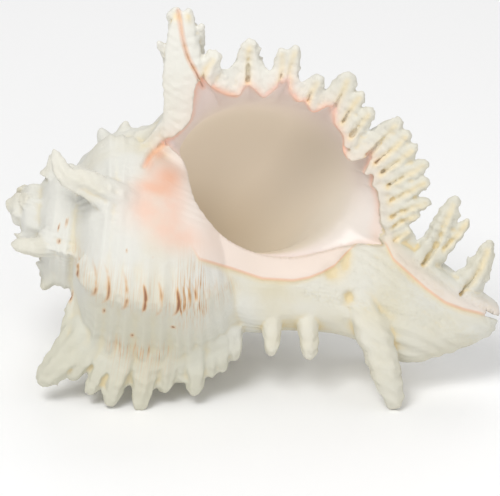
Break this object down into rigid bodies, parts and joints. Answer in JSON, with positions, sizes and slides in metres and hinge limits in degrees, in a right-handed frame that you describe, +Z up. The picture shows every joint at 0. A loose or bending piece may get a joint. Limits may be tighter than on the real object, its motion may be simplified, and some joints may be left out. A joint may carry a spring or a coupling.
{
  "type": "ramose murex shell",
  "caption": "Large spiny sea snail shell lying aperture forward, with branched fronds on its ridges, a flared crenulated lip, a short spire and a wide siphonal canal.",
  "frame": {"origin": "centre of the box at the floor that the shell lies on", "axes": "+Z up, +X from the spire towards the canal, the opening faces -Y"},
  "size_m": [0.1762, 0.115, 0.1406],
  "materials": {
    "shell": "dry cream-white shell, chalky outside with brown threads, satin pink and orange at the lip and the callus, tan inside"
  },
  "bodies": {
    "root": {"shell": "shell"}
  },
  "joints": []
}
